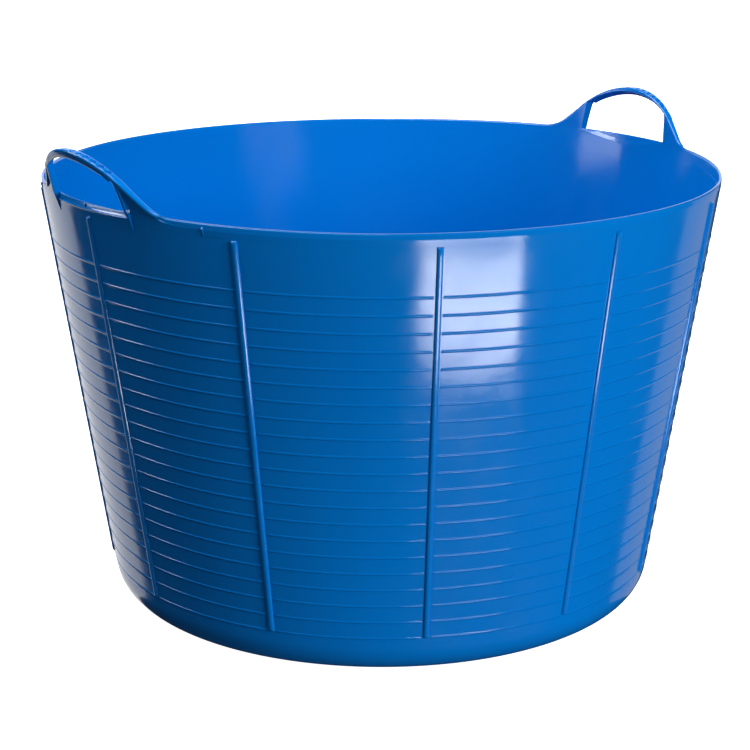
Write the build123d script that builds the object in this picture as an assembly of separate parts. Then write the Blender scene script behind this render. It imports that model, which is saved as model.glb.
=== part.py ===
from build123d import *
from math import asin, atan, cos, degrees, radians, sin, sqrt, tan
import os

# Flexible mortar mixing tub, moulded in one shot from soft plastic and divided
# here along its own features. Millimetres and degrees, +Z up, origin on the
# ground at the middle of the base. The two handles stand on +X and -X; front is
# the -Y side and rear the +Y side.

os.makedirs("parts", exist_ok=True)

# ---- overall sizes ----
tub_height = 358.0          # ground to the top of the rim
rim_diameter = 560.0        # over the rim bead
base_diameter = 448.4       # outside of the wall, carried on down to the ground
wall = 3.0                  # wall of the tub, measured level
bottom = 3.5                # thickness of the floor
corner_radius = 31.0        # outside bend from floor to wall
corner_land = 4.0           # straight wall kept above that bend

# ---- base ----
ring_setback = 6.0          # from the bend to the foot ring
foot_ring_width = 26.0
floor_lift = 1.5            # the middle of the floor stands clear of the ground
gate_diameter = 10.0        # moulding nub under the middle of the floor
gate_height = 1.0

# ---- rim ----
bead_stand = 1.2            # bead proud of the wall
bead_round = 1.0
rim_band_height = 9.0
bead_height = 4.2
lip = 1.8                   # thickness of the lip that edges a hand hole
ledge_drop = 4.2            # from the lip down to the ledge outside it

# ---- ribs and ring lines on the outside of the wall ----
rib_count = 12
rib_width = 5.0
rib_stand = 2.0
ring_count = 21
ring_top_drop = 47.7        # from the rim down to the first ring line
ring_foot_gap = 4.0         # from the bend's land up to the last ring line
ring_width = 1.5
ring_stand = 0.5
ring_rib_gap = 1.5          # each ring line stops this far short of a rib

# ---- handles ----
handle_rise = 41.6          # rim to the crown of the handle
crown_radius = 87.5
flank_angle = 40.0          # slope of the flank
foot_radius = 31.0          # bend from the flank to the rim
lean = 13.0                 # of the handle's inner face, from upright
root_depth = 4.2            # through the handle, at the rim
leg_depth = 6.0             # through the handle, half-way up the leg
crown_depth = 8.6           # through the handle, at the crown
leg_depth_height = 18.0     # where leg_depth is measured, above the rim
hole_sill_width = 105.4     # the hand hole, along the rim
hole_top_width = 99.4       # between the jambs where the arch starts
bar_height = 4.0            # from the top of the arch up to the crown
arch_radius = 98.0
knee_radius = 5.0
grip_setback = 0.9          # the grip ends this far inside each top corner of the hole
web = 3.0                   # thin skin of a leg between its edges
leg_edge = 3.0              # thick edge along the flank
jamb_edge = 2.2             # thick edge along the hole
jamb_drop = 14.0            # the jamb's thick edge runs out this far under the rim
gusset = 1.2                # thickness of the small gussets
sill_gusset_offset = 3.0    # from the middle of the sill
rim_gusset_angle = 24.0     # from the middle of the handle
rim_gusset_height = 10.0

# ---- finger grips along the crown ----
grip_stations = 6           # each side of the middle
grip_first = 4.0            # angle of the first one, round the crown's centre
grip_step = 5.2
dimple_diameter = 5.0
dimple_depth = 1.3
pit_diameter = 2.2
pit_depth = 0.7
dimple_inset = 3.0          # dimple centre, in from the outer face
pit_inset = 1.7             # pit centre, in from the inner face

# ---- where a handle bends ----
bend_height = 14.0          # above the rim
knuckle_radius = 9.0
knuckle_clearance = 0.35

# ---- worked out from the above ----
base_radius = base_diameter / 2
rim_radius = rim_diameter / 2
wall_top_radius = rim_radius - bead_stand
flare = (wall_top_radius - base_radius) / tub_height
flare_angle = degrees(atan(flare))
tangent_share = tan(radians((90 - flare_angle) / 2))
corner_tangent = corner_radius * tangent_share
corner_top = corner_tangent * cos(radians(flare_angle)) + corner_land
foot_ring_outer = base_radius - corner_tangent - ring_setback
foot_ring_inner = foot_ring_outer - foot_ring_width
band_bottom = tub_height - rim_band_height
sill_half = hole_sill_width / 2
hole_rise = handle_rise - bar_height
grip_width = hole_top_width - 2 * grip_setback
foot_tip = (
    crown_radius * sin(radians(flank_angle))
    + (handle_rise - crown_radius + crown_radius * cos(radians(flank_angle))
       - foot_radius * (1 - cos(radians(flank_angle)))) / tan(radians(flank_angle))
    + foot_radius * sin(radians(flank_angle))
)
sill_angle = degrees(asin(sill_half / rim_radius))
foot_angle = degrees(asin(foot_tip / rim_radius))
reach = 60.0                # spare length of cutting tools


def wall_radius(z):
    """Outside of the wall at height z."""
    return base_radius + flare * z


def inner_radius(z):
    """Inside of the wall at height z."""
    return wall_radius(z) - wall


def handle_inner(h):
    """Inner face of a handle at height h above the rim."""
    return inner_radius(tub_height) + h * tan(radians(lean))


def spin(edges, start=0.0, sweep=360.0):
    """Turn a closed profile in the XZ plane about Z, from start through sweep degrees."""
    return Rot(0, 0, start) * revolve(make_face(edges), Axis.Z, sweep)


def ring_of(points, start=0.0, sweep=360.0):
    """Turn a closed polygon of (radius, height) points about Z."""
    corners = [(r, 0, z) for r, z in points]
    return spin(Polyline(*corners, close=True).edges(), start, sweep)


def as_solids(shape, label):
    """One solid, or a compound of the separate solids, under the node's name."""
    solids = list(shape.solids())
    result = solids[0] if len(solids) == 1 else Compound(children=solids)
    result.label = label
    return result


def save(label, shape):
    export_step(as_solids(shape, label), f"parts/{label}.step")


# ---- wall: a plain open cone between the bend at the base and the rim band ----
wall_shell = ring_of([
    (inner_radius(corner_top), corner_top),
    (wall_radius(corner_top), corner_top),
    (wall_radius(band_bottom), band_bottom),
    (inner_radius(band_bottom), band_bottom),
])
save("wall_shell", wall_shell)


# ---- bend from floor to wall ----
def bend(radius_at_floor, height, radius):
    """Arc that leaves a level floor and meets a wall of the tub's flare."""
    run = radius * tangent_share
    centre = (radius_at_floor - run, height + radius)
    half = radians((90 + flare_angle) / 2)
    start = (centre[0], 0, height)
    middle = (centre[0] + radius * sin(half), 0, centre[1] - radius * cos(half))
    end = (
        radius_at_floor + run * sin(radians(flare_angle)),
        0,
        height + run * cos(radians(flare_angle)),
    )
    return start, middle, end


outer_start, outer_middle, outer_end = bend(base_radius, 0, corner_radius)
inner_start, inner_middle, inner_end = bend(
    inner_radius(bottom), bottom, corner_radius - wall
)
base_corner = spin([
    Line((foot_ring_outer, 0, 0), outer_start),
    ThreePointArc(outer_start, outer_middle, outer_end),
    Line(outer_end, (wall_radius(corner_top), 0, corner_top)),
    Line((wall_radius(corner_top), 0, corner_top), (inner_radius(corner_top), 0, corner_top)),
    Line((inner_radius(corner_top), 0, corner_top), inner_end),
    ThreePointArc(inner_end, inner_middle, inner_start),
    Line(inner_start, (foot_ring_outer, 0, bottom)),
    Line((foot_ring_outer, 0, bottom), (foot_ring_outer, 0, 0)),
])
save("base_corner", base_corner)

# ---- floor: a foot ring that stands on the ground and a raised middle ----
foot_ring = ring_of([
    (foot_ring_inner, 0),
    (foot_ring_outer, 0),
    (foot_ring_outer, bottom),
    (foot_ring_inner, bottom),
])
save("foot_ring", foot_ring)

floor_panel = ring_of([
    (0, floor_lift),
    (foot_ring_inner, floor_lift),
    (foot_ring_inner, floor_lift + bottom),
    (0, floor_lift + bottom),
])
save("floor_panel", floor_panel)

gate_mark = ring_of([
    (0, floor_lift - gate_height),
    (gate_diameter / 2, floor_lift - gate_height),
    (gate_diameter / 2, floor_lift),
    (0, floor_lift),
])
save("gate_mark", gate_mark)


# ---- rim: lip all round, bead between the handles, a flush ledge under each hole ----
def lip_radius(z):
    """Outside of the lip at height z."""
    return inner_radius(z) + lip


def beaded(start, sweep):
    """The band outside the lip where the bead runs, its top edge taken off."""
    low = tub_height - bead_height
    return ring_of([
        (lip_radius(band_bottom), band_bottom),
        (wall_radius(band_bottom), band_bottom),
        (wall_radius(low), low),
        (rim_radius, low),
        (rim_radius, tub_height - bead_round),
        (rim_radius - bead_round, tub_height),
        (lip_radius(tub_height), tub_height),
    ], start, sweep)


def plain(top, start, sweep):
    """The band outside the lip where there is no bead, flush with the wall, up to top."""
    return ring_of([
        (lip_radius(band_bottom), band_bottom),
        (wall_radius(band_bottom), band_bottom),
        (wall_radius(top), top),
        (lip_radius(top), top),
    ], start, sweep)


rim_band = ring_of([
    (inner_radius(band_bottom), band_bottom),
    (lip_radius(band_bottom), band_bottom),
    (lip_radius(tub_height), tub_height),
    (inner_radius(tub_height), tub_height),
])
foot_sweep = foot_angle - sill_angle
for side in (0, 180):
    rim_band += beaded(side + foot_angle, 180 - 2 * foot_angle)
    rim_band += plain(tub_height - ledge_drop, side - sill_angle, 2 * sill_angle)
    for start in (side + sill_angle, side - foot_angle):
        rim_band += plain(tub_height, start, foot_sweep)
save("rim_band", rim_band)

# ---- ribs: half-round, one under the middle of each handle ----
wall_core = ring_of([
    (0, -reach),
    (wall_radius(-reach), -reach),
    (wall_radius(tub_height + reach), tub_height + reach),
    (0, tub_height + reach),
])
ring_bottom = corner_top + ring_foot_gap
rib_sink = rib_width / 2 - rib_stand
rib_foot = Vector(wall_radius(ring_bottom) - rib_sink, 0, ring_bottom)
rib_head = Vector(wall_radius(band_bottom) - rib_sink, 0, band_bottom)
rib_run = rib_head - rib_foot
rib_rod = Plane(origin=rib_foot, z_dir=rib_run) * Cylinder(
    rib_width / 2,
    rib_run.length - bead_stand,
    align=(Align.CENTER, Align.CENTER, Align.MIN),
)
wall_rib = rib_rod - wall_core
rib_pitch = 360 / rib_count
for index in range(rib_count):
    save(f"wall_rib_{index + 1:02d}", Rot(0, 0, index * rib_pitch) * wall_rib)

# ---- ring lines: low ridges that run from rib to rib ----
ring_top = tub_height - ring_top_drop
ring_pitch = (ring_top - ring_bottom) / (ring_count - 1)
for index in range(ring_count):
    height = ring_top - index * ring_pitch
    low = (wall_radius(height - ring_width / 2), 0, height - ring_width / 2)
    high = (wall_radius(height + ring_width / 2), 0, height + ring_width / 2)
    crest = (wall_radius(height) + ring_stand, 0, height)
    gap = degrees((rib_width / 2 + ring_rib_gap) / wall_radius(height))
    stretch = spin(
        [ThreePointArc(low, crest, high), Line(high, low)], gap, rib_pitch - 2 * gap
    )
    stretches = [Rot(0, 0, turn * rib_pitch) * stretch for turn in range(rib_count)]
    save(f"ring_line_{index + 1:02d}", Compound(children=stretches))


# ---- one handle, on +X ----
def crown_outline(inset):
    """Face of the handle's outline in the YZ plane, drawn in by inset, closed under the rim."""
    centre = tub_height + handle_rise - crown_radius
    crown = crown_radius - inset
    slope = radians(flank_angle)
    bend_radius = foot_radius + inset
    knee = (crown * sin(slope), centre + crown * cos(slope))
    toe = (foot_tip - bend_radius * sin(slope), tub_height + foot_radius - bend_radius * cos(slope))
    half = slope / 2
    toe_middle = (
        foot_tip - bend_radius * sin(half),
        tub_height + foot_radius - bend_radius * cos(half),
    )
    tip = (foot_tip, tub_height - inset)
    under = tub_height - reach / 4
    right = [
        ThreePointArc(place(tip), place(toe_middle), place(toe)),
        Line(place(toe), place(knee)),
    ]
    left = [
        ThreePointArc(place(tip, -1), place(toe_middle, -1), place(toe, -1)),
        Line(place(toe, -1), place(knee, -1)),
    ]
    top = [ThreePointArc(place(knee), (0, 0, centre + crown), place(knee, -1))]
    closing = [
        Line(place(tip), (0, foot_tip, under)),
        Line((0, foot_tip, under), (0, -foot_tip, under)),
        Line((0, -foot_tip, under), place(tip, -1)),
    ]
    return make_face(right + top + left + closing)


def place(point, side=1):
    """A (y, z) point in the YZ plane, on the given side of the handle's middle."""
    return (0, side * point[0], point[1])


def through(face):
    """A face in the YZ plane made into a cutter through the wall on the +X side."""
    return Pos(rim_radius - reach, 0, 0) * extrude(face, 2 * reach, dir=(1, 0, 0))


arch_centre = tub_height + hole_rise - arch_radius
jamb_top = arch_centre + sqrt(arch_radius ** 2 - (hole_top_width / 2) ** 2)
jamb_slope = (hole_sill_width - hole_top_width) / 2 / (jamb_top - tub_height)


def jamb_y(z, edge=0.0):
    """Half width of the hand hole at height z, plus an edge outside it."""
    return sill_half - jamb_slope * (z - tub_height) + edge


hole_low = tub_height - reach / 4
hole_face = make_face([
    ThreePointArc(
        (0, -hole_top_width / 2, jamb_top),
        (0, 0, tub_height + hole_rise),
        (0, hole_top_width / 2, jamb_top),
    ),
    Line((0, hole_top_width / 2, jamb_top), (0, jamb_y(hole_low), hole_low)),
    Line((0, jamb_y(hole_low), hole_low), (0, -jamb_y(hole_low), hole_low)),
    Line((0, -jamb_y(hole_low), hole_low), (0, -hole_top_width / 2, jamb_top)),
])
knees = hole_face.vertices().filter_by(lambda v: abs(v.Z - jamb_top) < 0.01)
hole_cutter = through(fillet(knees, knee_radius))

handle_top = tub_height + handle_rise + 2.0


def lean_shell(inner_extra, outer_points):
    """Leaning shell above the rim, from the handle's inner face plus inner_extra outwards."""
    rise = handle_top - tub_height
    foot_in = (handle_inner(0) + inner_extra, 0, tub_height)
    head_in = (handle_inner(rise) + inner_extra, 0, handle_top)
    if outer_points is None:
        foot_out = (handle_inner(0) + reach, 0, tub_height)
        head_out = (handle_inner(rise) + reach, 0, handle_top)
        outer = Line(foot_out, head_out)
    else:
        foot_out, middle_out, head_out = outer_points
        outer = ThreePointArc(foot_out, middle_out, head_out)
    return spin([
        Line(foot_in, foot_out),
        outer,
        Line(head_out, head_in),
        Line(head_in, foot_in),
    ], -2 * foot_angle, 4 * foot_angle)


blade_shell = lean_shell(0, [
    (handle_inner(0) + root_depth, 0, tub_height),
    (handle_inner(leg_depth_height) + leg_depth, 0, tub_height + leg_depth_height),
    (handle_inner(handle_rise + 2.0) + crown_depth, 0, handle_top),
])
blade = blade_shell & (through(crown_outline(0)) - hole_cutter)

# the thin web of each leg, sunk from outside between its two thick edges
pocket_low = tub_height - reach / 4
pocket_high = tub_height + handle_rise
pocket_side = make_face(Polyline(
    (0, jamb_y(pocket_low, jamb_edge), pocket_low),
    (0, jamb_y(pocket_high, jamb_edge), pocket_high),
    (0, foot_tip, pocket_high),
    (0, foot_tip, pocket_low),
    close=True,
).edges())
pocket_sides = through(pocket_side) + through(mirror(pocket_side, Plane.XZ))
pocket_floor = lean_shell(web, None)
blade = blade - (pocket_sides & through(crown_outline(leg_edge)) & pocket_floor)

# grip: the bar between the legs, with two rows of finger grips along its top
grip_box = Pos(rim_radius, 0, tub_height) * Box(2 * reach, grip_width, 3 * reach)
grip = blade & grip_box
crown_centre = tub_height + handle_rise - crown_radius


def sunk_ball(diameter, depth):
    """Radius of the ball that leaves a round hollow of this width and depth."""
    return ((diameter / 2) ** 2 + depth ** 2) / (2 * depth)


def ball_at(angle, radius_in_plan, diameter, depth):
    """Ball set over the crown line at angle, at this distance from the tub's axis."""
    ball = sunk_ball(diameter, depth)
    lift = crown_radius + ball - depth
    y = lift * sin(radians(angle))
    z = crown_centre + lift * cos(radians(angle))
    return Pos(sqrt(radius_in_plan ** 2 - y ** 2), y, z) * Sphere(ball)


for index in range(grip_stations):
    for side in (-1, 1):
        angle = side * (grip_first + index * grip_step)
        rise = crown_centre + crown_radius * cos(radians(angle)) - tub_height
        outer_face = handle_inner(rise) + crown_depth
        grip -= ball_at(angle, outer_face - dimple_inset, dimple_diameter, dimple_depth)
        grip -= ball_at(angle, handle_inner(rise) + pit_inset, pit_diameter, pit_depth)

# legs: divided where the soft plastic bends, round an axis that runs along Y
leg_middle_y = (jamb_y(tub_height + bend_height) + crown_radius * sin(radians(flank_angle))
                + (handle_rise - crown_radius * (1 - cos(radians(flank_angle))) - bend_height)
                / tan(radians(flank_angle))) / 2
bend_radius_in_plan = handle_inner(bend_height) + (root_depth + leg_depth) / 4
bend_x = sqrt(bend_radius_in_plan ** 2 - leg_middle_y ** 2)
bend_z = tub_height + bend_height


def knuckle(radius):
    """Round bar along the bend axis."""
    return Pos(bend_x, 0, bend_z) * Rot(90, 0, 0) * Cylinder(radius, 4 * foot_tip)


above = Pos(rim_radius, 0, bend_z + reach) * Box(4 * reach, 4 * foot_tip, 2 * reach)
legs = blade - grip_box
moving_legs = (legs & above) + (legs & knuckle(knuckle_radius))
fixed_feet = legs - above - knuckle(knuckle_radius + knuckle_clearance)


def half(shape, side):
    """The solids of a shape on one side of the handle's middle."""
    chosen = [solid for solid in shape.solids() if solid.center().Y * side > 0]
    return Compound(children=chosen)


# thick edges of the hole, run out under the rim
jamb_angle = sill_angle + degrees((jamb_edge / 2 + ring_stand) / rim_radius)
jamb_plate = extrude(
    make_face(Polyline(
        (wall_radius(tub_height - jamb_drop), 0, tub_height - jamb_drop),
        (rim_radius, 0, tub_height),
        (inner_radius(tub_height), 0, tub_height),
        close=True,
    ).edges()),
    jamb_edge / 2,
    dir=(0, 1, 0),
    both=True,
) - wall_core

# small gusset between lip and ledge, and the ones under the ends of the bead
lip_core = ring_of([
    (0, band_bottom),
    (lip_radius(band_bottom), band_bottom),
    (lip_radius(tub_height), tub_height),
    (0, tub_height),
])
sill_plate = extrude(
    make_face(Polyline(
        (lip_radius(tub_height - ledge_drop), 0, tub_height - ledge_drop),
        (wall_radius(tub_height - ledge_drop), 0, tub_height - ledge_drop),
        (lip_radius(tub_height), 0, tub_height),
        close=True,
    ).edges()),
    gusset / 2,
    dir=(0, 1, 0),
    both=True,
) - lip_core
bead_low = tub_height - bead_height
rim_plate = extrude(
    make_face(Polyline(
        (wall_radius(tub_height - rim_gusset_height), 0, tub_height - rim_gusset_height),
        (rim_radius, 0, bead_low),
        (inner_radius(bead_low), 0, bead_low),
        close=True,
    ).edges()),
    gusset / 2,
    dir=(0, 1, 0),
    both=True,
) - wall_core

# ---- both handles: the left one is the right one turned half a turn ----
for name, turn in (("right", 0), ("left", 180)):
    spot = Rot(0, 0, turn)
    front = -1 if turn == 0 else 1
    save(f"{name}_grip", spot * grip)
    for end, side in (("front", front), ("rear", -front)):
        save(f"{name}_{end}_leg", spot * half(moving_legs, side))
        save(f"{name}_{end}_foot", spot * half(fixed_feet, side))
        save(f"{name}_{end}_jamb", spot * Rot(0, 0, side * jamb_angle) * jamb_plate)
    sill_turn = degrees(sill_gusset_offset / rim_radius)
    save(f"{name}_sill_gusset", spot * Rot(0, 0, -sill_turn) * sill_plate)

for index, turn in enumerate((0, 0, 180, 180)):
    side = 1 if index % 2 else -1
    save(f"rim_gusset_{index + 1}", Rot(0, 0, turn + side * rim_gusset_angle) * rim_plate)

print("bend axis of the right handle, mm:", round(bend_x, 3), round(bend_z, 3))
print("crown outer face, mm:", round(handle_inner(handle_rise) + crown_depth, 3))
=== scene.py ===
"""A flexible builder's mixing tub: one moulding in glossy blue plastic, with a flared
wall, twelve ribs, twenty-one fine ring lines, a beaded rim and two springy handles.
Metres, +Z up, handles on +X and -X, the ground at z = 0."""
from math import atan, cos, degrees, pi, radians, sin, sqrt, tan
import bpy
import bmesh
import numpy as np
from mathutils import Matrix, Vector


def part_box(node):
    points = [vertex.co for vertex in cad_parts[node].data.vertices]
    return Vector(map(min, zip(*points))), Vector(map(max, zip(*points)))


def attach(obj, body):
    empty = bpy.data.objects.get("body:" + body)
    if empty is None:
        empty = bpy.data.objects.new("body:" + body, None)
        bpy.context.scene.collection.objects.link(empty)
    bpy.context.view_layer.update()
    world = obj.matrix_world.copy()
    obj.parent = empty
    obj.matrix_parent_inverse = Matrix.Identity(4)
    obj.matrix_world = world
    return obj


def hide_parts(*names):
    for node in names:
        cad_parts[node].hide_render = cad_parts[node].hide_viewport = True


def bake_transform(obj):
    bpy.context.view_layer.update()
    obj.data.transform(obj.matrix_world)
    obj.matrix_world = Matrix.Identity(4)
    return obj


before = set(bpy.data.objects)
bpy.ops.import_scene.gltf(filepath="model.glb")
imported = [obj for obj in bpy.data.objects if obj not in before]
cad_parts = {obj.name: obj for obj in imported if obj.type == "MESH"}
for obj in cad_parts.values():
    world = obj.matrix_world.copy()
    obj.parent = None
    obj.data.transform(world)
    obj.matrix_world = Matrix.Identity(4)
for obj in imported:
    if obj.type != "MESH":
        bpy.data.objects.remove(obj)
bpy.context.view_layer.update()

# ---- Camera ----
# A long lens a little above the rim, looking down into the tub past one handle.
camera_distance = 1.696
camera_height = 0.6456
camera_turn = radians(-128.6)
camera_pitch = radians(15.36)
camera_aim = radians(-38.42)
lens_mm = 99.3

camera_data = bpy.data.cameras.new("camera")
camera_data.lens = lens_mm
camera_data.sensor_width = 36
camera_data.sensor_fit = "HORIZONTAL"
camera = bpy.data.objects.new("camera", camera_data)
camera.location = (
    camera_distance * cos(camera_turn),
    camera_distance * sin(camera_turn),
    camera_height,
)
camera.rotation_euler = (pi / 2 - camera_pitch, 0, camera_aim)
bpy.context.scene.collection.objects.link(camera)
bpy.context.scene.camera = camera


# ---- Plastic ----
# Soft polyethylene, dyed right through. Slow clouding in the dye, a fine ripple from the
# mould and a few dull rubbed patches; the shine comes from a smooth skin.
def tub_plastic(name, colour_deep, colour_clear, rough_low, rough_high):
    """Dyed plastic: noise mixes two close blues, other noises drive roughness and bump."""
    material = bpy.data.materials.new(name)
    material.use_nodes = True
    nodes, links = material.node_tree.nodes, material.node_tree.links
    shader = nodes["Principled BSDF"]
    place = nodes.new("ShaderNodeTexCoord")

    def noise(scale, detail, roughness=0.5):
        node = nodes.new("ShaderNodeTexNoise")
        node.inputs["Scale"].default_value = scale
        node.inputs["Detail"].default_value = detail
        node.inputs["Roughness"].default_value = roughness
        links.new(place.outputs["Object"], node.inputs["Vector"])
        return node.outputs["Fac"]

    def spread(value, low, high, out_low, out_high):
        node = nodes.new("ShaderNodeMapRange")
        node.inputs["From Min"].default_value = low
        node.inputs["From Max"].default_value = high
        node.inputs["To Min"].default_value = out_low
        node.inputs["To Max"].default_value = out_high
        links.new(value, node.inputs["Value"])
        return node.outputs["Result"]

    dye = nodes.new("ShaderNodeMix")
    dye.data_type = "RGBA"
    dye.inputs["A"].default_value = (*colour_deep, 1)
    dye.inputs["B"].default_value = (*colour_clear, 1)
    links.new(spread(noise(5, 3), 0.3, 0.7, 0, 1), dye.inputs["Factor"])
    links.new(dye.outputs["Result"], shader.inputs["Base Color"])
    rubbed = noise(38, 6, 0.7)
    links.new(spread(rubbed, 0.42, 0.72, rough_low, rough_high), shader.inputs["Roughness"])
    fine_bump = nodes.new("ShaderNodeBump")
    fine_bump.inputs["Strength"].default_value = 0.05
    fine_bump.inputs["Distance"].default_value = 0.0004
    links.new(noise(900, 3), fine_bump.inputs["Height"])
    slow_bump = nodes.new("ShaderNodeBump")
    slow_bump.inputs["Strength"].default_value = 0.12
    slow_bump.inputs["Distance"].default_value = 0.002
    links.new(noise(14, 2), slow_bump.inputs["Height"])
    links.new(fine_bump.outputs["Normal"], slow_bump.inputs["Normal"])
    links.new(slow_bump.outputs["Normal"], shader.inputs["Normal"])
    shader.inputs["IOR"].default_value = 1.5
    return material


blue = tub_plastic(
    "blue_polyethylene", (0.0, 0.182, 0.64), (0.0, 0.196, 0.67), 0.1, 0.19
)


# ---- Base: floor, foot ring and the bend up to the wall ----
# One turned skin. The middle of the floor is lifted off the ground, with the nub where
# the mould was filled; the foot ring round it carries the tub.
def skin(name, points, material, round_u=False, round_v=False, sharp=40):
    """A mesh through a grid of points: u runs along the first index and v along the second."""
    count_u, count_v = points.shape[:2]
    index = np.arange(count_u * count_v).reshape(count_u, count_v)
    if round_u:
        index = np.vstack([index, index[:1]])
    if round_v:
        index = np.hstack([index, index[:, :1]])
    quads = np.stack(
        [index[:-1, :-1], index[1:, :-1], index[1:, 1:], index[:-1, 1:]], axis=-1
    ).reshape(-1, 4)
    mesh = bpy.data.meshes.new(name)
    mesh.from_pydata(as_it_stands(points).reshape(-1, 3).tolist(), [], quads.tolist())
    made = bmesh.new()
    made.from_mesh(mesh)
    bmesh.ops.remove_doubles(made, verts=made.verts, dist=1e-6)
    bmesh.ops.dissolve_degenerate(made, edges=made.edges, dist=1e-7)
    ends = [edge for edge in made.edges if edge.is_boundary]
    if ends:
        bmesh.ops.holes_fill(made, edges=ends, sides=0)
    made.to_mesh(mesh)
    made.free()
    mesh.materials.append(material)
    mesh.shade_smooth()
    mesh.set_sharp_from_angle(angle=radians(sharp))
    piece = bpy.data.objects.new(name, mesh)
    bpy.context.scene.collection.objects.link(piece)
    return piece


def turned(profile, angles):
    """Points of a profile of (radius, height) turned about Z to each angle."""
    radius, height = profile[:, 0], profile[:, 1]
    return np.stack([
        np.outer(np.cos(angles), radius),
        np.outer(np.sin(angles), radius),
        np.outer(np.ones(len(angles)), height),
    ], axis=-1)


def arc(centre, radius, start, end, count):
    """Points on an arc in the (radius, height) plane, angles in degrees."""
    turn = np.radians(np.linspace(start, end, count))
    return np.stack([centre[0] + radius * np.cos(turn), centre[1] + radius * np.sin(turn)], -1)


def as_it_stands(points):
    """The soft mouth is not quite true: each handle stands a little high, a little round to
    one side, and leans its own way. The shift is a smooth bump centred on each handle."""
    x, y, z = points[..., 0], points[..., 1], points[..., 2]
    away = np.arctan2(np.abs(y), np.abs(x))
    up = np.clip(z / rim_height, 0, 1.2)
    near_handle = 1 - ease(away, handle_hold, handle_fade)
    turn = np.where(x > 0, right_turn, left_turn) * near_handle * np.clip(up, 0, 1)
    sway = np.where(x > 0, right_sway, left_sway) * np.maximum(z - rim_height, 0)
    x = x + np.sign(x) * sway
    return np.stack([
        x * np.cos(turn) - y * np.sin(turn),
        x * np.sin(turn) + y * np.cos(turn),
        z + handle_lift * (1 - ease(away, handle_hold / 2, handle_fade)) * ease(up, 0.6, 1),
    ], -1)


def ease(value, start, end):
    """0 before start, 1 after end, and a smooth step between them."""
    t = np.clip((value - start) / (end - start), 0, 1)
    return t * t * (3 - 2 * t)


# how far the mouth is out of true: turn about Z, sway outwards for each metre above the
# rim, and lift; whole within handle_hold of a handle's middle and gone past handle_fade
rim_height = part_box("rim_band")[1][2]
right_turn = radians(-1.6)
left_turn = radians(-1.0)
right_sway = -0.11
left_sway = 0.05
handle_lift = 0.0018
handle_hold = radians(20)
handle_fade = radians(55)

wall_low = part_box("wall_shell")[0][2]
wall_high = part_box("wall_shell")[1][2]
radius_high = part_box("wall_shell")[1][0]
radius_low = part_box("base_corner")[1][0]
flare = (radius_high - radius_low) / (wall_high - wall_low)
wall_thick = 0.003
floor_thick = 0.0035
floor_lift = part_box("floor_panel")[0][2]
ring_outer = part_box("foot_ring")[1][0]
ring_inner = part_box("floor_panel")[1][0]
nub_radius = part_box("gate_mark")[1][0]
nub_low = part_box("gate_mark")[0][2]
bend_radius = 0.031
flare_degrees = degrees(atan(flare))
edge_round = 0.0008


def wall_line(z):
    """Outside of the wall: a straight flare."""
    return radius_low + flare * (z - wall_low)


bend_run = bend_radius * tan(radians((90 - flare_degrees) / 2))
bend_centre = (wall_line(0) - bend_run, bend_radius)
inner_bend = bend_radius - wall_thick
inner_centre = (
    wall_line(floor_thick) - wall_thick - inner_bend * tan(radians((90 - flare_degrees) / 2)),
    floor_thick + inner_bend,
)
floor_top = floor_lift + floor_thick
flat_count = 12
bend_steps = 20
base_profile = np.concatenate([
    [(0, nub_low), (nub_radius - edge_round, nub_low), (nub_radius, nub_low + edge_round)],
    [(nub_radius, floor_lift), (nub_radius + 0.02, floor_lift)],
    np.stack([
        np.linspace(0.04, ring_inner - 0.004, flat_count), np.full(flat_count, floor_lift)
    ], -1),
    [(ring_inner - 0.001, floor_lift), (ring_inner, floor_lift - 0.0004)],
    [(ring_inner + 0.0004, 0.0003), (ring_inner + 0.001, 0), (ring_outer, 0)],
    arc(bend_centre, bend_radius, -90, -flare_degrees, bend_steps),
    [(wall_line(wall_low), wall_low), (wall_line(wall_low) - wall_thick, wall_low)],
    arc(inner_centre, inner_bend, -flare_degrees, -90, bend_steps),
    [(ring_outer, floor_thick), (ring_inner + 0.0025, floor_thick)],
    [(ring_inner + 0.0018, floor_thick + 0.0001), (ring_inner + 0.0002, floor_top - 0.0002)],
    [(ring_inner - 0.0006, floor_top)],
    np.stack([
        np.linspace(ring_inner - 0.004, 0.01, flat_count), np.full(flat_count, floor_top)
    ], -1),
    [(0, floor_top)],
])
round_base = np.linspace(0, 2 * pi, 288, endpoint=False)
base = skin("base", turned(base_profile, round_base), blue, round_u=True)
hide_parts("base_corner", "foot_ring", "floor_panel", "gate_mark")
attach(base, "tub")

# ---- Wall: ribs and ring lines ----
# The flared wall, with twelve half-round ribs outside and ring lines that run from rib to
# rib. Inside it is smooth, apart from the faint sinks that thick ribs leave behind.
rib_half = 0.0025
rib_stand = 0.002
rib_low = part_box("wall_rib_01")[0][2]
rib_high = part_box("wall_rib_01")[1][2]
rib_gap = 0.0015
rib_count = 12
rib_pitch = 2 * pi / rib_count
ring_count = 21
ring_half = 0.00085
ring_stand = 0.0004
sink_depth = 0.00012
sink_half = 0.004
ring_heights = np.array([
    (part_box(f"ring_line_{number:02d}")[0][2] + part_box(f"ring_line_{number:02d}")[1][2]) / 2
    for number in range(1, ring_count + 1)
])


def rib_shape(offset, z):
    """Half-ellipse across the rib, rounded off at its two ends."""
    across = np.sqrt(np.clip(1 - (offset / rib_half) ** 2, 0, 1))
    ends = np.sqrt(np.clip(1 - np.clip((rib_low + rib_stand - z) / rib_stand, 0, 1) ** 2, 0, 1))
    ends = ends * np.sqrt(
        np.clip(1 - np.clip((z - rib_high + rib_stand) / rib_stand, 0, 1) ** 2, 0, 1)
    )
    return rib_stand * across * ends


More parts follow.
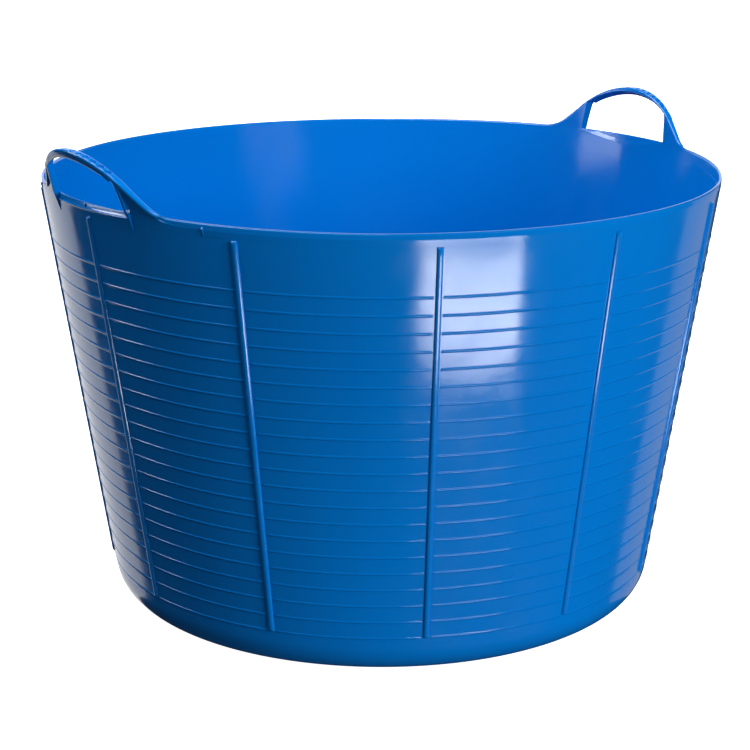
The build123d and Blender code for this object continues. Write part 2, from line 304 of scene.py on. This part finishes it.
def ring_shape(offset, z):
    """Low half-round ridges at the ring heights, run out beside each rib."""
    nearest = np.min(np.abs(z[..., None] - ring_heights), axis=-1)
    across = np.sqrt(np.clip(1 - (nearest / ring_half) ** 2, 0, 1))
    beside = ease(np.abs(offset), rib_half + rib_gap * 0.6, rib_half + rib_gap * 1.3)
    return ring_stand * across * beside


# rows of points: across each ring line in ring halves, close round the rib ends, few between
ring_rows = np.array([-1.6, -1.06, -0.95, -0.6, 0, 0.6, 0.95, 1.06, 1.6])
wall_rows = np.unique(np.concatenate([
    (ring_heights[:, None] + ring_half * ring_rows).ravel(),
    [wall_low, wall_high],
    [rib_high - 0.002, rib_high - 0.001, rib_high - 0.0003, rib_high, rib_high + 0.0005],
    rib_high - np.linspace(0.006, 0.035, 5),
    [rib_low, rib_low + 0.0003, rib_low + 0.001, rib_low + 0.002],
]))
beside_rib = np.array([0, 0.5, 1.0, 1.5, 1.9, 2.2, 2.4, 2.5, 2.7, 3.3, 3.7, 4.1, 4.6]) / 1000
near = np.concatenate([-beside_rib[:0:-1], beside_rib])
between = np.linspace(0, 1, 9)[1:-1]
inner_rows = np.linspace(wall_high, wall_low, 10)


def wall_columns(z):
    """Angles of the columns at each height, and their distance from the nearest rib."""
    radius = wall_line(z)[None, :]
    ribs = np.arange(rib_count) * rib_pitch
    reach = near[-1] / radius
    beside = near[:, None] / radius
    open_part = reach + between[:, None] * (rib_pitch - 2 * reach)
    one = np.concatenate([beside, open_part])
    angle = (ribs[:, None, None] + one[None]).reshape(-1, len(z))
    folded = np.minimum(one, rib_pitch - one) * radius
    offset = np.tile(folded, (rib_count, 1))
    return angle, offset


def wall_face(z, outside):
    """Points of the wall's outer or inner face at these heights."""
    angle, offset = wall_columns(z)
    heights = np.broadcast_to(z[None, :], angle.shape)
    if outside:
        radius = wall_line(heights) + np.maximum(
            rib_shape(offset, heights), ring_shape(offset, heights)
        )
    else:
        sink = np.exp(-(offset / sink_half) ** 2) * (heights > wall_low) * (heights < wall_high)
        radius = wall_line(heights) - wall_thick + sink_depth * sink
    return np.stack([radius * np.cos(angle), radius * np.sin(angle), heights], -1)


wall = skin(
    "wall",
    np.concatenate([wall_face(wall_rows, True), wall_face(inner_rows, False)], axis=1),
    blue,
    round_u=True,
    round_v=True,
    sharp=75,
)
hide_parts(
    "wall_shell",
    *[f"wall_rib_{number:02d}" for number in range(1, rib_count + 1)],
    *[f"ring_line_{number:02d}" for number in range(1, ring_count + 1)],
)
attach(wall, "tub")

# ---- Rim and handles ----
# Each half of the rim is made with its handle, as in the mould: the bead climbs from the
# rim up the flank, thickens into the grip over the hand hole and comes down again. The
# legs are thin webs between that edge and the thick jambs of the hole.
rim_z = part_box("rim_band")[1][2]
rim_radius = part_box("rim_band")[1][0]
band_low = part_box("rim_band")[0][2]
crown_rise = 0.0416
crown_radius = 0.0875
flank = radians(40)
foot_radius = 0.031
bar_height = 0.0038
sill_half = 0.0527
arch_half = 0.0497
arch_radius = 0.098
knee_radius = 0.005
web = 0.003
root_depth = 0.0042
leg_depth = 0.006
leg_depth_at = 0.018
crown_depth = 0.0086
lean = tan(radians(13.0))
lean_round = 0.004
bead_height = 0.0042
leg_edge = 0.003
jamb_edge = 0.0022
jamb_root = 0.0062
jamb_drop = 0.0135
outer_round = 0.0019
inner_round = 0.0017
hole_round = 0.0008
drip = 0.003

crown_centre = crown_rise - crown_radius
knee_out = np.array([crown_radius * sin(flank), crown_centre + crown_radius * cos(flank)])
foot_tip = (
    knee_out[0]
    + (knee_out[1] - foot_radius * (1 - cos(flank))) / tan(flank)
    + foot_radius * sin(flank)
)
toe = np.array([foot_tip - foot_radius * sin(flank), foot_radius * (1 - cos(flank))])
arch_centre = crown_rise - bar_height - arch_radius
jamb_top = arch_centre + sqrt(arch_radius ** 2 - arch_half ** 2)
jamb_way = np.array([arch_half - sill_half, jamb_top]) / np.hypot(arch_half - sill_half, jamb_top)
jamb_in = np.array([-jamb_way[1], jamb_way[0]])
from_arch = np.array([sill_half, -arch_centre]) + knee_radius * jamb_in
half_b = from_arch @ jamb_way
knee_way = -half_b + sqrt(half_b ** 2 - from_arch @ from_arch + (arch_radius - knee_radius) ** 2)
knee_centre = np.array([sill_half, 0]) + knee_radius * jamb_in + knee_way * jamb_way
knee_low = np.array([sill_half, 0]) + knee_way * jamb_way
to_knee = knee_centre - np.array([0, arch_centre])
knee_high = np.array([0, arch_centre]) + to_knee * arch_radius / np.linalg.norm(to_knee)
arch_turn = np.arctan2(knee_high[0], knee_high[1] - arch_centre)


def handle_inner(h):
    """Radius of the inner face at height h over the rim: the wall's flare, then the lean."""
    lift = (h + np.sqrt(h * h + lean_round ** 2)) / 2
    return wall_line(rim_z) - wall_thick + flare * h + (lean - flare) * lift


def handle_depth(h):
    """Depth through the handle: a parabola through its depth at rim, leg and crown."""
    rise_a = leg_depth - root_depth
    rise_b = crown_depth - root_depth
    curve = (rise_b / crown_rise - rise_a / leg_depth_at) / (crown_rise - leg_depth_at)
    slope = rise_a / leg_depth_at - curve * leg_depth_at
    above = root_depth + slope * h + curve * h * h
    below = rim_radius - handle_inner(h)
    return np.where(h > 0, above, below)


def jamb_face(h):
    """Depth of the thick edge along the hole: the handle's own above, run out under the rim."""
    above = jamb_root + (np.maximum(handle_depth(h), jamb_root) - jamb_root) * ease(h, 0, 0.02)
    below = web + (jamb_root - web) * np.clip(1 + h / jamb_drop, 0, 1)
    return np.where(h > 0, above, below)


def along(start, end, count):
    """Points on a straight line, its end left out."""
    t = np.linspace(0, 1, count, endpoint=False)[:, None]
    return np.asarray(start) + t * (np.asarray(end) - np.asarray(start))


def round_arc(centre, radius, start, end, count):
    """Points (y, height) on an arc, angles from straight up towards +y, its end left out."""
    turn = np.linspace(start, end, count, endpoint=False)
    return np.stack([centre[0] + radius * np.sin(turn), centre[1] + radius * np.cos(turn)], -1)


# half of the path, from the back of the rim round to the crown; y past the foot is
# measured round the rim
tail = rim_radius * pi / 2
low = band_low - rim_z
corner = np.array([sill_half, low])
sill_end = np.array([sill_half, 0.0])
split_a = toe + 0.34 * (knee_out - toe)  # across from the hole's lower corner
split_b = toe + 0.62 * (knee_out - toe)  # across from the end of the sill
crown_turn = radians(33.5)
toe_low = (sill_half + 0.011, low)
rim_count, bend_count, toe_count, jamb_count = 60, 26, 9, 8
flank_count, knee_count, crown_count = 18, 12, 125
gathering = 1.6  # the stations along the rim gather towards the foot
rim_share = np.linspace(1, 0, rim_count, endpoint=False) ** gathering
rim_steps = foot_tip + (tail - foot_tip) * rim_share
stations_out = np.concatenate([
    np.stack([rim_steps, np.zeros(rim_count)], -1),
    round_arc((foot_tip, foot_radius), -foot_radius, 0, flank, bend_count),
    along(toe, split_a, toe_count),
    along(split_a, split_b, jamb_count),
    along(split_b, knee_out, flank_count),
    round_arc((0, crown_centre), crown_radius, flank, crown_turn, knee_count),
    round_arc((0, crown_centre), crown_radius, crown_turn, 0, crown_count),
    [(0, crown_centre + crown_radius)],
])
stations_in = np.concatenate([
    np.stack([rim_steps, np.full(rim_count, low)], -1),
    along((foot_tip, low), toe_low, bend_count),
    along(toe_low, corner, toe_count),
    along(corner, sill_end, jamb_count),
    along(sill_end, knee_low, flank_count),
    round_arc(
        knee_centre, knee_radius,
        np.arctan2(-jamb_in[0], -jamb_in[1]), np.arctan2(to_knee[0], to_knee[1]), knee_count
    ),
    round_arc((0, arch_centre), arch_radius, arch_turn, 0, crown_count),
    [(0, arch_centre + arch_radius)],
])
flip = np.array([-1, 1])
path_out = np.concatenate([stations_out * flip, stations_out[-2::-1]])
path_in = np.concatenate([stations_in * flip, stations_in[-2::-1]])
first = rim_count + bend_count + toe_count
in_jamb = np.zeros(len(stations_out))
in_jamb[first + jamb_count:] = 1
jamb_run = in_jamb.copy()
jamb_run[first:first + jamb_count] = np.linspace(0, 1, jamb_count, endpoint=False)
hole_side = np.concatenate([in_jamb, in_jamb[-2::-1]])[:, None]
jamb_share = np.concatenate([jamb_run, jamb_run[-2::-1]])[:, None]

across = path_in - path_out
length = np.linalg.norm(across, axis=1)[:, None]
way = across / length


def slant(path):
    """How far each crossing leans from square to the edge: 1 where it is square."""
    step = np.gradient(path, axis=0)
    square = np.stack([-step[:, 1], step[:, 0]], -1)
    square = square / np.maximum(np.linalg.norm(square, axis=1)[:, None], 1e-9)
    return np.clip(np.abs(np.sum(square * way, axis=1)), 0.45, 1)[:, None]


edge_share = ease(np.abs(path_out[:, 0]), foot_tip * 0.93, foot_tip * 1.1)[:, None]
edge_width = leg_edge + (bead_height - leg_edge) * edge_share
outer_most, inner_most = 0.58, 0.42  # most of a crossing that either edge may take
edge_at = np.minimum(edge_width / slant(path_out), outer_most * length)
jamb_wide = jamb_edge / slant(path_in) * jamb_share + 0.0001
jamb_at = length - np.minimum(jamb_wide, inner_most * length)
jamb_at = np.maximum(jamb_at, edge_at)
room = jamb_at - edge_at
# the legs are sunk between their edges; the grip over the hole is solid
solid_grip = 1 - ease(np.abs(path_in[:, 0:1]), arch_half - 0.002, arch_half + 0.0004)
in_hole = path_in[:, 1:2] > jamb_top - 0.004
sunk = ease(room, 0.0002, 0.0022) * (1 - in_hole * solid_grip)
step_out = np.clip(room / 2.2, 1e-7, 0.0005)
round_hole = hole_side * (hole_round - 0.00005) + 0.00005


def quarter(count):
    """Evenly spaced points of a rounded edge, each as what is left to go along either side."""
    turn = np.linspace(0, pi / 2, count)
    return list(zip(1 - np.cos(turn), 1 - np.sin(turn)))


def station_heights(t):
    """Height over the rim of points t along the crossings."""
    return path_out[:, 1:2] + way[:, 1:2] * t


rows_t, rows_d = [], []


def add_rows(t, d):
    """Adds lines of the section: t down from the outer edge, d out from the inner face."""
    t, d = np.broadcast_arrays(t + 0 * length, d + 0 * length)
    rows_t.append(t)
    rows_d.append(d)


def outer_face(t):
    """Depth of the outer face at t: full depth on the edges, the web between them."""
    full = handle_depth(station_heights(t))
    flange = web + (jamb_face(station_heights(t)) - web) * jamb_share
    into = ease(t, edge_at, edge_at + step_out)
    out = ease(t, jamb_at - step_out, jamb_at)
    middle = full + (web - full) * sunk
    depth = full + (middle - full) * into
    return depth + (flange - depth) * out * (jamb_at > edge_at)


foot_face = outer_face(length)
for a, b in quarter(5):
    add_rows(length - round_hole * a, foot_face - round_hole * b)
for share in (0.25, 0.6, 0.9, 1.0):
    t = (length - round_hole) + (jamb_at - length + round_hole) * share
    add_rows(t, outer_face(t))
for share in (0.2, 0.4, 0.6, 0.8, 1.0):
    t = jamb_at - step_out * share
    add_rows(t, outer_face(t))
for share in np.linspace(0, 1, 10)[1:-1]:
    t = (jamb_at - step_out) + (edge_at + step_out - jamb_at + step_out) * share
    add_rows(t, outer_face(t))
for share in (1.0, 0.8, 0.6, 0.4, 0.2, 0.0):
    t = edge_at + step_out * share
    add_rows(t, outer_face(t))
for share in (0.3, 0.65):
    t = edge_at + (outer_round - edge_at) * share
    add_rows(t, outer_face(t))
top_depth = handle_depth(station_heights(outer_round + 0 * length))
for a, b in quarter(8):
    add_rows(outer_round * b, top_depth - outer_round * a)
for share in np.linspace(0, 1, 18)[1:-1]:
    add_rows(0 * length, (top_depth - outer_round) * (1 - share) + inner_round * share)
for a, b in quarter(8)[::-1]:
    add_rows(inner_round * b, inner_round * a)
for share in np.linspace(0, 1, 14)[1:-1]:
    add_rows(inner_round + (length - round_hole - inner_round) * share, 0 * length)
add_rows(length - round_hole - 0.0001, 0 * length)
for a, b in quarter(5):
    add_rows(length - round_hole * b, round_hole * a)
for share in (0.33, 0.66):
    add_rows(length, round_hole + (foot_face - 2 * round_hole) * share)

section_t = np.concatenate(rows_t, axis=1)
section_d = np.concatenate(rows_d, axis=1)
hang = drip * (1 - ease(np.abs(path_out[:, 0]), 0.9 * arch_half, 1.35 * arch_half))[:, None]
low_share = ease(section_t / length, 0.3, 1)
grip_height = 0.04  # where the depth of the grip is taken
out_share = ease(section_d / handle_depth(grip_height + 0 * length), 0, 0.8)
section_t = section_t + hang * low_share * out_share

# finger grips: twelve round hollows on the outer shoulder, twelve small pits by the inner edge
grip_turns = radians(4.0) + radians(5.2) * np.arange(6)
grip_turns = np.concatenate([-grip_turns[::-1], grip_turns])
dimple_radius = 0.0026
dimple_depth = 0.0017
dimple_inset = 0.0036
pit_radius = 0.0012
pit_depth = 0.0007
pit_inset = 0.0024
arc_length = crown_radius * np.arctan2(path_out[:, 0], path_out[:, 1] - crown_centre)[:, None]
on_crown = (np.abs(path_out[:, 0]) < knee_out[0])[:, None]
for middle in grip_turns * crown_radius:
    for radius, depth, centre in (
        (dimple_radius, dimple_depth, top_depth - dimple_inset),
        (pit_radius, pit_depth, pit_inset + 0 * top_depth),
    ):
        away = np.hypot(arc_length - middle, section_d - centre)
        hollow = depth * np.sqrt(np.clip(1 - (away / radius) ** 2, 0, 1))
        section_t = section_t + hollow * on_crown * (section_t < 0.003)

section_h = station_heights(section_t)
section_y = path_out[:, 0:1] + way[:, 0:1] * section_t
surface = handle_inner(section_h) + section_d
past_foot = ease(np.abs(path_out[:, 0:1]), foot_tip, foot_tip * 1.4)
held = np.arcsin(np.clip(section_y / surface, -1, 1))
round_rim = np.sign(section_y) * (
    np.arcsin(foot_tip / rim_radius) + (np.abs(section_y) - foot_tip)
    / (tail - foot_tip) * (pi / 2 - np.arcsin(foot_tip / rim_radius))
)
section_angle = held + (np.where(past_foot > 0, round_rim, held) - held) * past_foot
half_rim = np.stack([
    surface * np.cos(section_angle),
    surface * np.sin(section_angle),
    rim_z + section_h,
], -1)

for side, turn_sign in (("right", 1), ("left", -1)):
    points = half_rim * np.array([turn_sign, turn_sign, 1])
    half = skin(f"{side}_rim_and_handle", points, blue, round_v=True, sharp=50)
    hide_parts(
        f"{side}_grip",
        *[f"{side}_{end}_{part}" for end in ("front", "rear") for part in ("leg", "foot")],
    )
    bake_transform(half)

# ---- Sills: the rim under each hand hole ----
# A thin lip carries the inner face up to the hole, with a ledge a little lower outside it,
# flush with the wall, and a shallow crescent pressed into the inner face. A small gusset
# ties lip and ledge near the middle.
lip = 0.0018
ledge_drop = 0.0042
scoop_depth = 0.00042
scoop_drop = 0.0075
sill_y = np.linspace(-sill_half, sill_half, 121)
cove = 0.0005
roll_height = 0.0016
roll_stand = 0.0005


def sill_profile():
    """Outside of the sill from the band up over ledge and lip, as (height, radius)."""
    wall_at = wall_line(rim_z) + flare * low
    roll_low = -ledge_drop - roll_height
    under = wall_line(rim_z) + flare * roll_low
    out = under + roll_stand
    lip_at = wall_line(rim_z) - wall_thick + lip
    outer = [(low, wall_at), (roll_low - cove, under), (roll_low, under + 0.0001)]
    outer += [(roll_low + 0.0003, out - 0.0001), (roll_low + 0.0006, out)]
    outer += [(-ledge_drop - 0.0004, out), (-ledge_drop, out - 0.0004)]
    outer += [(-ledge_drop, lip_at + 0.0004), (-ledge_drop + 0.0004, lip_at)]
    outer += [(-0.0006, lip_at), (-0.0002, lip_at - 0.0002), (0, lip_at - 0.0006)]
    return np.array(outer)


sill_outer = sill_profile()
sill_rounding = np.array([(0, 0.0006), (-0.0002, 0.0002), (-0.0006, 0)])
sill_inner_h = np.concatenate([sill_rounding[:, 0], -np.linspace(0.0014, -low, 22)])
sill_inner_r = handle_inner(sill_inner_h)
sill_inner_r[:len(sill_rounding)] += sill_rounding[:, 1]
sill_h = np.concatenate([sill_outer[:, 0], sill_inner_h])
sill_r = np.tile(np.concatenate([sill_outer[:, 1], sill_inner_r]), (len(sill_y), 1))
crescent = scoop_drop * (1 - (sill_y / sill_half) ** 2)
inside = np.arange(len(sill_h)) >= len(sill_outer)
fall = ease(crescent[:, None] + sill_h[None, :], -0.0008, 0.0035)
sill_r = sill_r + inside * scoop_depth * fall * ease(crescent[:, None], 0, 0.004)
sill_angle = np.arcsin(sill_y[:, None] / sill_r)
sill_points = np.stack([
    sill_r * np.cos(sill_angle),
    sill_r * np.sin(sill_angle),
    np.broadcast_to(rim_z + sill_h, sill_r.shape),
], -1)
for side, turn_sign in (("right", 1), ("left", -1)):
    sill = skin(
        f"{side}_sill", sill_points * np.array([turn_sign, turn_sign, 1]), blue,
        round_v=True, sharp=50,
    )
    if side == "right":
        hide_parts("rim_band")
    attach(sill, "tub")

# ---- Jamb run-outs and gussets ----
# Small upright plates on the outside: each jamb's thick edge runs out to nothing under the
# rim, a gusset ties lip and ledge near the middle of each sill, and another stands under
# the bead beyond each foot.
def plate(name, degrees_round, corners, thick, drawn=0.0003):
    """A flat plate through (radius, height) corners, square to the wall, its edges eased."""
    corners = np.array(corners)
    middle = corners.mean(axis=0)
    arms = corners - middle
    sizes = 1 - drawn / np.linalg.norm(arms, axis=1)[:, None]
    rings = []
    for share, inset in ((-0.5, True), (-0.5 + drawn / thick, False),
                         (0.5 - drawn / thick, False), (0.5, True)):
        outline = middle + arms * (sizes if inset else 1)
        rings.append(np.column_stack([
            outline[:, 0], np.full(len(outline), share * thick), outline[:, 1]
        ]))
    flat = np.stack(rings)
    angle = radians(degrees_round)
    return skin(name, np.stack([
        flat[..., 0] * np.cos(angle) - flat[..., 1] * np.sin(angle),
        flat[..., 0] * np.sin(angle) + flat[..., 1] * np.cos(angle),
        flat[..., 2],
    ], -1), blue, round_v=True, sharp=30)


gusset = 0.0014
gusset_drop = 0.014
bite = 0.0006  # how far a plate reaches into what it stands on
inner_top = wall_line(rim_z) - wall_thick
for side, base_turn in (("right", 0), ("left", 180)):
    front = -1 if side == "right" else 1
    jamb_turn = degrees(np.arcsin((sill_half + jamb_edge / 2) / rim_radius))
    for end, way_round in (("front", front), ("rear", -front)):
        runout = plate(
            f"{side}_{end}_jamb_runout", base_turn + way_round * jamb_turn,
            [
                (wall_line(rim_z - jamb_drop) - 0.0005, rim_z - jamb_drop - 0.002),
                (inner_top + jamb_root - 0.0003, rim_z - 0.0003),
                (inner_top + bite, rim_z - 0.0003),
            ],
            jamb_edge,
        )
        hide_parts(f"{side}_{end}_jamb")
        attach(runout, "tub")
    tie = plate(
        f"{side}_sill_tie", base_turn - degrees(0.003 / rim_radius),
        [
            (inner_top + bite, rim_z - ledge_drop - bite),
            (wall_line(rim_z - ledge_drop) + 0.0001, rim_z - ledge_drop - bite),
            (inner_top + 0.0030, rim_z - 0.0008),
            (inner_top + bite, rim_z - 0.0003),
        ],
        gusset,
    )
    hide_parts(f"{side}_sill_gusset")
    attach(tie, "tub")
for number, angle in enumerate((-25, 25, 155, 205), start=1):
    stay = plate(
        f"bead_stay_{number}", angle,
        [
            (wall_line(rim_z - gusset_drop) - bite, rim_z - gusset_drop),
            (rim_radius + 0.0013, rim_z - 0.0038),
            (rim_radius - 0.0004, rim_z - 0.0022),
            (wall_line(rim_z) - 0.0012, rim_z - 0.0022),
        ],
        gusset,
    )
    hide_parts(f"rim_gusset_{number}")
    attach(stay, "tub")

# ---- Floor and light ----
# A white studio sweep. The paper takes no part in the tub's own reflections, so the soft
# boxes low in front and at the sides show in the gloss of the wall as they do in a studio.
ground_mesh = bpy.data.meshes.new("ground")
ground_mesh.from_pydata(
    [(-12, -12, 0), (12, -12, 0), (12, 12, 0), (-12, 12, 0)], [], [(0, 1, 2, 3)]
)
ground = bpy.data.objects.new("ground", ground_mesh)
bpy.context.scene.collection.objects.link(ground)
paper = bpy.data.materials.new("white_paper")
paper.use_nodes = True
paper_shader = paper.node_tree.nodes["Principled BSDF"]
paper_shader.inputs["Base Color"].default_value = (0.9, 0.9, 0.9, 1)
paper_shader.inputs["Roughness"].default_value = 0.9
paper_shader.inputs["Emission Color"].default_value = (1, 1, 1, 1)
paper_shader.inputs["Emission Strength"].default_value = 1.0
ground_mesh.materials.append(paper)
ground.visible_glossy = False
ground.visible_diffuse = False
ground.visible_shadow = False

# The room is white to the camera, but adds little to lit surfaces and less to reflections.
room_light = 0.08
room_shine = 0.01
world = bpy.data.worlds.new("studio")
world.use_nodes = True
world_nodes, world_links = world.node_tree.nodes, world.node_tree.links
room = world_nodes["Background"]
room.inputs["Color"].default_value = (1, 1, 1, 1)
rays = world_nodes.new("ShaderNodeLightPath")
seen = world_nodes.new("ShaderNodeMix")
seen.inputs["A"].default_value = room_light
seen.inputs["B"].default_value = room_shine
world_links.new(rays.outputs["Is Glossy Ray"], seen.inputs["Factor"])
white_wall = world_nodes.new("ShaderNodeMix")
white_wall.inputs["B"].default_value = 1.0
world_links.new(seen.outputs["Result"], white_wall.inputs["A"])
world_links.new(rays.outputs["Is Camera Ray"], white_wall.inputs["Factor"])
world_links.new(white_wall.outputs["Result"], room.inputs["Strength"])
bpy.context.scene.world = world
bpy.context.scene.view_settings.view_transform = "Standard"


def panel(name, turn, away, height, aim_height, size, brightness, in_gloss=True, in_diffuse=True):
    """A soft box, turn degrees round to the right from the camera, facing the tub's axis.
    Its brightness is that of the lit face, whatever its size."""
    data = bpy.data.lights.new(name, "AREA")
    data.shape = "RECTANGLE"
    data.size, data.size_y = size
    data.energy = brightness * pi * size[0] * size[1]
    light = bpy.data.objects.new(name, data)
    around = camera_turn + radians(turn)
    light.location = (away * cos(around), away * sin(around), height)
    light.rotation_euler = (pi / 2 + np.arctan2(aim_height - height, away), 0, around + pi / 2)
    light.visible_glossy = in_gloss
    light.visible_diffuse = in_diffuse
    light.visible_camera = False
    bpy.context.scene.collection.objects.link(light)


# Boxes marked in_gloss=False only light the plastic; those marked in_diffuse=False are
# only seen in its shine. Angles run to the right, so the ones below zero stand on the left.
panel("key", 43, 3.0, 1.2, 0.25, (1.2, 1.2), 16, in_gloss=False)
panel("overhead", -90, 0.7, 1.9, 0.0, (1.6, 1.6), 4.9)
panel("low_front", 27, 0.98, -0.118, 0.372, (0.56, 0.13), 14, in_diffuse=False)
panel("bounce", 45, 1.2, -0.7, 0.1, (1.4, 0.8), 1.1, in_gloss=False)
panel("far_left", -150, 1.4, -0.23, 0.2, (1.6, 1.0), 1.0, in_diffuse=False)
panel("far_right", 131, 1.4, -0.2, 0.2, (0.8, 1.0), 0.4, in_diffuse=False)
panel("left_low", -94, 1.4, 0.455, 0.36, (0.45, 0.16), 3.4, in_diffuse=False)
panel("left_high", -94, 1.5, 0.8, 0.36, (0.4, 0.3), 12, in_diffuse=False)
panel("back_fill", 180, 3.0, 1.2, 0.25, (1.4, 1.2), 7, in_gloss=False)
panel("backdrop", 180, 2.2, 0.9, 0.3, (3.2, 1.3), 1.0, in_diffuse=False)
